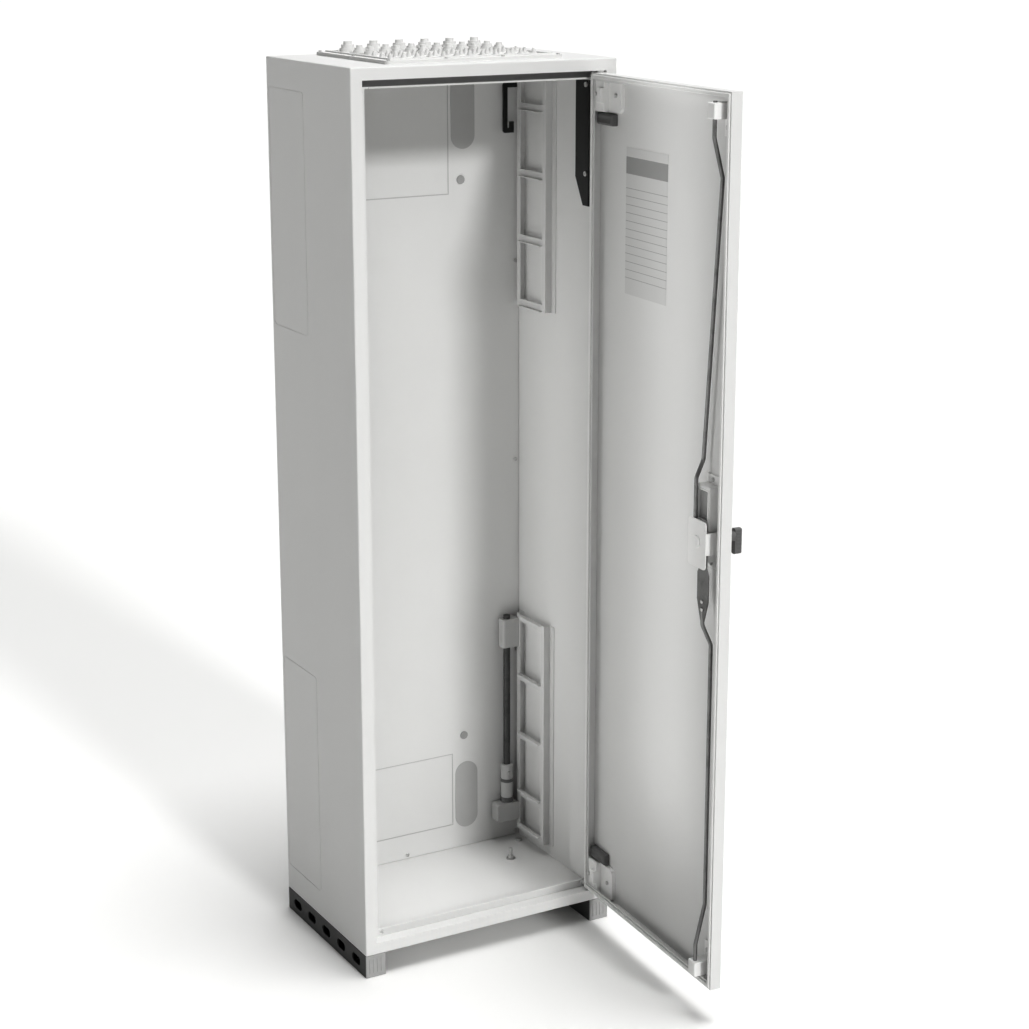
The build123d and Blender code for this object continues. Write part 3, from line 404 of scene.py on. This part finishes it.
def soften(piece, width, steps=2):
    choose(piece)
    bpy.ops.object.modifier_add(type="BEVEL")
    edge = piece.modifiers[-1]
    edge.width = width
    edge.segments = steps
    edge.limit_method = "ANGLE"
    edge.angle_limit = modelling["bevelFrom"]
    bpy.ops.object.modifier_apply(modifier=edge.name)


def ring(name, shape):  # flat frame standing in the x-z plane, from y near to y far
    (left, low), (right, high) = shape["low"], shape["high"]
    middle = ((left + right) / 2, shape["near"], (low + high) / 2)
    bpy.ops.mesh.primitive_plane_add(size=1, location=middle, rotation=lyingDown)
    piece = bpy.context.object
    piece.name = name
    piece.scale = (right - left, high - low, 1)
    settle(piece)
    edit(piece)
    bpy.ops.mesh.inset(thickness=shape["width"], depth=0)
    bpy.ops.mesh.delete(type="FACE")
    bpy.ops.mesh.select_all(action="SELECT")
    bpy.ops.mesh.extrude_region_move(TRANSFORM_OT_translate={"value": (0, shape["far"] - shape["near"], 0)})
    bpy.ops.mesh.select_all(action="SELECT")
    bpy.ops.mesh.normals_make_consistent(inside=False)
    leave()
    return piece


def twin(piece, name, matrix):  # copy with its own mesh
    choose(piece)
    bpy.ops.object.duplicate(linked=False)
    copy = bpy.context.object
    copy.name = name
    copy.matrix_world = matrix @ copy.matrix_world
    settle(copy)
    if matrix.determinant() < 0:
        edit(copy)
        bpy.ops.mesh.normals_make_consistent(inside=False)
        leave()
    return copy


def dress(piece, finishName, body):
    choose(piece)
    bpy.ops.object.shade_smooth_by_angle(angle=modelling["smoothTo"])
    piece.data.name = piece.name
    piece.data.materials.clear()
    piece.data.materials.append(finishes[finishName])
    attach(piece, body)


acrossMiddle = Matrix.Scale(-1, 4, (1, 0, 0))
upDown = Matrix.Translation((0, 0, 2 * middleHeight)) @ Matrix.Scale(-1, 4, (0, 0, 1))
halfTurn = Matrix.Rotation(math.pi, 4, "Z")

# rounded foam bead round the door, in place of the plain CAD strip
sealShape = {"low": (-0.268, 0.082), "high": (0.268, 1.868), "width": 0.0075, "near": -0.176, "far": -0.1725,
             "round": 0.0018, "steps": 4}
doorSeal = ring("doorSeal", sealShape)
soften(doorSeal, sealShape["round"], sealShape["steps"])
hang(doorSeal)
dress(doorSeal, "sealFoam", "door")
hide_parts("door_gasket")
print("door seal made")

# dark strip on the seat above the opening, whose dark colour paints the shadow the top rim casts there: a
# thin web with a raised upper edge
stripShape = {"low": (-0.272, -0.1724, 1.8605), "high": (0.256, -0.172, 1.8746), "ridge": 1.8692,
              "rise": 0.0022, "round": 0.00015}
rimShadowStrip = block("rimShadowStrip", stripShape["low"], stripShape["high"])
edit(rimShadowStrip)
bpy.ops.mesh.bisect(plane_co=(0, 0, stripShape["ridge"]), plane_no=(0, 0, 1))
leave()
pick(rimShadowStrip, lambda face: isFront(face) and face.center.z > stripShape["ridge"])
bpy.ops.mesh.extrude_region_move(TRANSFORM_OT_translate={"value": (0, -stripShape["rise"], 0)})
leave()
soften(rimShadowStrip, stripShape["round"])
# the dark plastic is painted shadow of the top rim on the seat
dress(rimShadowStrip, "gripPlastic", "cabinet")
print("rim shadow strip made")

# moulded end caps with a sunk panel and ribs
capShape = {"low": (0.254, -0.200, 0.0), "high": (0.300, -0.196, 0.050), "border": 0.005, "sink": 0.0012,
            "edge": 0.0012, "ribs": 4, "ribWidth": 0.0032, "ribRise": 0.0010, "ribGap": 0.004,
            "ribRound": 0.0008}
cap = block("railCapFrontRight", capShape["low"], capShape["high"])
pick(cap, isFront)
bpy.ops.mesh.inset(thickness=capShape["border"], depth=-capShape["sink"])
leave()
soften(cap, capShape["edge"])
ribFoot = capShape["border"] + capShape["ribGap"]
ribPitch = (capShape["high"][0] - capShape["low"][0] - 2 * capShape["border"]) / capShape["ribs"]
ribLeft = capShape["low"][0] + capShape["border"] + (ribPitch - capShape["ribWidth"]) / 2
sunk = capShape["low"][1] + capShape["sink"]
low = (ribLeft, sunk - capShape["ribRise"], ribFoot)
high = (ribLeft + capShape["ribWidth"], sunk + capShape["ribRise"], capShape["high"][2] - ribFoot)
ribs = [block("capRib", low, high)]
soften(ribs[0], capShape["ribRound"])
for count in range(1, capShape["ribs"]):
    ribs.append(twin(ribs[0], "capRib%d" % count, Matrix.Translation((count * ribPitch, 0, 0))))
choose(cap)
for rib in ribs:
    rib.select_set(True)
bpy.ops.object.join()
caps = [cap, twin(cap, "railCapFrontLeft", acrossMiddle), twin(cap, "railCapRearLeft", halfTurn),
        twin(cap, "railCapRearRight", acrossMiddle @ halfTurn)]
for piece in caps:
    dress(piece, "capPlastic", "cabinet")
    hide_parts("rail_end_caps")
print("end caps made:", len(caps))

# frame and insert in the lock case window
frameShape = {"low": (-0.2275, 1.0465), "high": (-0.1865, 1.1115), "width": 0.0035, "near": -0.174,
              "far": -0.1715, "round": 0.0006}
lockFrame = ring("lockFrame", frameShape)
soften(lockFrame, frameShape["round"])
hang(lockFrame)
dress(lockFrame, "castPaint", "door")
insertShape = {"low": (-0.2215, -0.191, 1.053), "high": (-0.1925, -0.1748, 1.105), "finger": 0.004,
               "fingerSink": 0.005, "round": 0.0012}
lockInsert = block("lockInsert", insertShape["low"], insertShape["high"])
pick(lockInsert, isBack)
bpy.ops.mesh.inset(thickness=insertShape["finger"], depth=-insertShape["fingerSink"])
leave()
soften(lockInsert, insertShape["round"])
hang(lockInsert)
dress(lockInsert, "capPlastic", "door")
print("lock window filled")

# dark stop clips under the hinge blocks, whose dark colour paints the shade the blocks cast below them
clipShape = {"low": (0.196, -0.198, 1.768), "high": (0.260, -0.186, 1.792), "step": 0.004, "lift": 0.004,
             "dish": 0.002, "edge": 0.0016}
upperShadeClip = block("upperHingeShadeClip", clipShape["low"], clipShape["high"])
pick(upperShadeClip, isBack)
bpy.ops.mesh.inset(thickness=clipShape["step"], depth=clipShape["lift"])
bpy.ops.mesh.inset(thickness=clipShape["step"], depth=-clipShape["dish"])
leave()
soften(upperShadeClip, clipShape["edge"])
for piece in (upperShadeClip, twin(upperShadeClip, "lowerHingeShadeClip", upDown)):
    hang(piece)
    # the dark plastic is painted shade under the hinge blocks
    dress(piece, "gripPlastic", "door")
print("hinge shade clips made")

# plugs in the wall fixing holes
plugShape = {"radius": 0.0095, "thick": 0.003, "face": 0.196, "x": 0.150, "levels": (0.330, 1.620),
             "step": 0.003, "sink": 0.001, "round": 0.0008}
place = (plugShape["x"], plugShape["face"] - plugShape["thick"] / 2, plugShape["levels"][0])
plug = disc("lowerWallPlugRight", plugShape["radius"], plugShape["thick"], place, lyingDown)
pick(plug, isFront)
bpy.ops.mesh.inset(thickness=plugShape["step"], depth=-plugShape["sink"])
leave()
soften(plug, plugShape["round"])
plugLift = Matrix.Translation((0, 0, plugShape["levels"][1] - plugShape["levels"][0]))
plugs = [plug, twin(plug, "upperWallPlugRight", plugLift), twin(plug, "lowerWallPlugLeft", acrossMiddle),
         twin(plug, "upperWallPlugLeft", acrossMiddle @ plugLift)]
for piece in plugs:
    dress(piece, "capPlastic", "cabinet")
print("wall plugs made:", len(plugs))

# dark bands on the strut clamps
bandShape = {"radius": 0.0152, "x": 0.254, "y": 0.176, "levels": ((158, 0.012), (206, 0.008)),
             "insetShare": 0.25, "sink": 0.0006, "round": 0.0006}
for level, height in bandShape["levels"]:  # level in mm, height in m
    place = (bandShape["x"], bandShape["y"], level / 1000)
    band = disc("clampBandRight%d" % level, bandShape["radius"], height, place, (0, 0, 0))
    pick(band, isRound)
    bpy.ops.mesh.inset(thickness=height * bandShape["insetShare"], depth=-bandShape["sink"])
    leave()
    soften(band, bandShape["round"])
    for piece in (band, twin(band, "clampBandLeft%d" % level, acrossMiddle)):
        dress(piece, "gripPlastic", "cabinet")
print("clamp bands made")

# rivets at the foot of the lower rod's plate
rivetShape = {"radius": 0.0042, "rise": 0.0022, "x": -0.224, "face": -0.165, "levels": (0.8895, 0.8735),
              "crownShare": 0.4, "liftShare": 0.25, "round": 0.0009, "steps": 3}
place = (rivetShape["x"], rivetShape["face"] + rivetShape["rise"] / 2, rivetShape["levels"][0])
rivet = disc("rodRivet0", rivetShape["radius"], rivetShape["rise"], place, lyingDown)
pick(rivet, isBack)
bpy.ops.mesh.inset(thickness=rivetShape["radius"] * rivetShape["crownShare"],
                   depth=rivetShape["rise"] * rivetShape["liftShare"])
leave()
soften(rivet, rivetShape["round"], rivetShape["steps"])
hang(rivet)
rivetDrop = Matrix.Translation((0, 0, rivetShape["levels"][1] - rivetShape["levels"][0]))
rivets = [rivet, twin(rivet, "rodRivet1", rivetDrop)]
for piece in rivets:
    dress(piece, "zincSteel", "lower_rod")
print("rod rivets made:", len(rivets))

# ribs on both sides of the outside handle's wing
gripShape = {"low": (-0.2143, -0.2565, 0.978), "high": (-0.1997, -0.2465, 0.9812), "pitch": 0.0072,
             "count": 6, "round": 0.0009, "dish": 0.0003, "steps": 3}
gripRib = block("gripRib0", gripShape["low"], gripShape["high"])
pick(gripRib, isSide)
bpy.ops.mesh.inset(thickness=gripShape["round"], depth=-gripShape["dish"], use_individual=True)
leave()
soften(gripRib, gripShape["round"], gripShape["steps"])
hang(gripRib)
gripRibs = [gripRib]
for count in range(1, gripShape["count"]):
    climb = Matrix.Translation((0, 0, count * gripShape["pitch"]))
    gripRibs.append(twin(gripRib, "gripRib%d" % count, climb))
for piece in gripRibs:
    dress(piece, "gripPlastic", "handle")
print("handle ribs made:", len(gripRibs))

# floor, light and camera
stageLook = {"size": 400.0, "drop": 0.0005, "dark": 0.92, "light": 0.94, "cloud": (0.8, 3.0, 0.5),
             "rough": 0.75, "cloudRough": 0.1, "specular": 0.2}
bpy.ops.mesh.primitive_plane_add(size=stageLook["size"], location=(0, 0, -stageLook["drop"]))
floor = bpy.context.object
floor.name = "studioFloor"
floorFinish = Finish("studioFloor")
floorCloud = floorFinish.noise(*stageLook["cloud"])
floorFinish.set(Base_Color=floorFinish.mix(floorCloud, grey(stageLook["dark"]), grey(stageLook["light"])))
floorFinish.set(Roughness=stageLook["rough"] + floorCloud * stageLook["cloudRough"])
floorFinish.set(Specular_IOR_Level=stageLook["specular"])
floor.data.materials.append(floorFinish.material)

skyLook = {"light": 0.045, "seen": 0.957}  # lights weakly, shows as pale as the far floor
sky = Finish("studioSky", sky=True)
seen = sky.node("LightPath", {}, {}, "Is Camera Ray")
sky.set(Color=grey(1), Strength=skyLook["light"] + seen * (skyLook["seen"] - skyLook["light"]))
bpy.context.scene.world = sky.material
suns = {
    "keySun": {"energy": 1.42, "height": 26.0, "turn": 3.0, "soft": 7.0},
    "topSun": {"energy": 2.45, "height": 80.0, "turn": 30.0, "soft": 30.0},
    "backSun": {"energy": 0.75, "height": 35.0, "turn": 150.0, "soft": 50.0},
}
for name, look in suns.items():
    bpy.ops.object.light_add(type="SUN")
    sun = bpy.context.object
    sun.name = name
    sun.data.energy = look["energy"]
    sun.data.angle = math.radians(look["soft"])
    sun.rotation_euler = (math.radians(90 - look["height"]), 0, math.radians(look["turn"]))
fills = {
    "doorFill": {"energy": 0.64, "place": (-0.27, -0.50, 1.22), "turn": -90.0, "tall": 1.8, "wide": 0.26,
                 "spread": 50.0},
    "wallFill": {"energy": 0.58, "place": (-0.24, 0.04, 0.90), "turn": -90.0, "tall": 1.4, "wide": 0.10,
                 "spread": 90.0},
    "floorFill": {"energy": 0.12, "place": (0, 0.0, 1.80), "turn": 0.0, "tall": 0.3, "wide": 0.2,
                  "spread": 22.0},
}
for name, look in fills.items():
    bpy.ops.object.light_add(type="AREA", location=look["place"], rotation=(0, math.radians(look["turn"]), 0))
    fill = bpy.context.object
    fill.name = name
    fill.data.shape = "RECTANGLE"
    fill.data.size = look["tall"]
    fill.data.size_y = look["wide"]
    fill.data.spread = math.radians(look["spread"])
    fill.data.energy = look["energy"]
    fill.visible_camera = False

cameraLook = {"place": (-2.1365, -4.0505, 2.1990), "yaw": 29.705, "pitch": 14.430, "focusPixels": 2207.0,
              "framePixels": 1029, "sensor": 36.0, "shift": -0.04, "reach": 500, "gamma": 0.78}
bpy.ops.object.camera_add(location=cameraLook["place"])
camera = bpy.context.object
camera.rotation_euler = (math.radians(90 - cameraLook["pitch"]), 0, math.radians(-cameraLook["yaw"]))
camera.data.sensor_width = cameraLook["sensor"]
camera.data.lens = cameraLook["focusPixels"] / cameraLook["framePixels"] * cameraLook["sensor"]
camera.data.shift_y = cameraLook["shift"]
camera.data.clip_end = cameraLook["reach"]
bpy.context.scene.camera = camera
bpy.context.scene.view_settings.view_transform = "Standard"
bpy.context.scene.view_settings.gamma = cameraLook["gamma"]
print("stage set")
